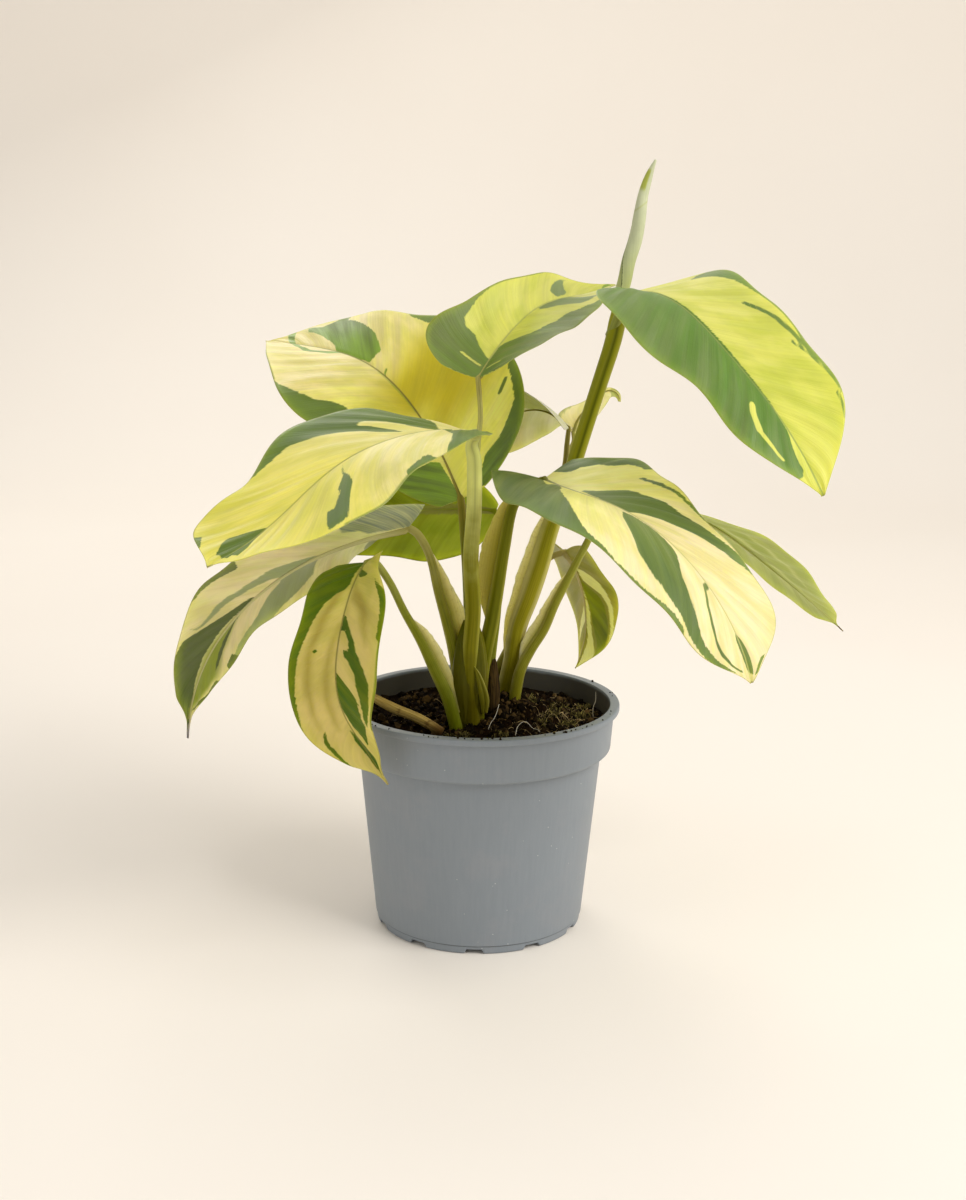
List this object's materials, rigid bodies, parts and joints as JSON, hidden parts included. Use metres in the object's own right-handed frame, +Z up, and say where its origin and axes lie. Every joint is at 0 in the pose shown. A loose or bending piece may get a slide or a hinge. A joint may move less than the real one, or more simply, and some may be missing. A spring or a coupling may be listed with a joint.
{
  "type": "potted houseplant",
  "caption": "Small variegated ctenanthe with broad cream and green leaves on thin stalks, growing from dark soil in a tapered grey plastic nursery pot with a rim band.",
  "frame": {"origin": "centre of the pot's base, on the surface that it stands on", "axes": "+Z up along the pot's axis, the plant's front towards -Y, the leaf with the lime upper half towards +X"},
  "size_m": [0.2617, 0.2075, 0.2842],
  "materials": {
    "pot": "satin",
    "soil": "matte",
    "tall_leafy_stem": "satin",
    "upper_leafy_stem": "satin",
    "leaf_upper_left": "satin",
    "leaf_drooping_left": "satin",
    "leaf_hanging_left": "satin",
    "leaf_right": "satin",
    "leaf_right_behind": "satin",
    "leaf_small_hanging": "satin",
    "leaf_centre_behind": "satin",
    "dried_stalk": "matte",
    "dry_sheath": "matte"
  },
  "bodies": {
    "root": {"pot": "pot", "soil": "soil", "tall_leafy_stem": "tall_leafy_stem", "upper_leafy_stem": "upper_leafy_stem", "leaf_upper_left": "leaf_upper_left", "leaf_drooping_left": "leaf_drooping_left", "leaf_hanging_left": "leaf_hanging_left", "leaf_right": "leaf_right", "leaf_right_behind": "leaf_right_behind", "leaf_small_hanging": "leaf_small_hanging", "leaf_centre_behind": "leaf_centre_behind", "dried_stalk": "dried_stalk", "dry_sheath": "dry_sheath"}
  },
  "joints": []
}
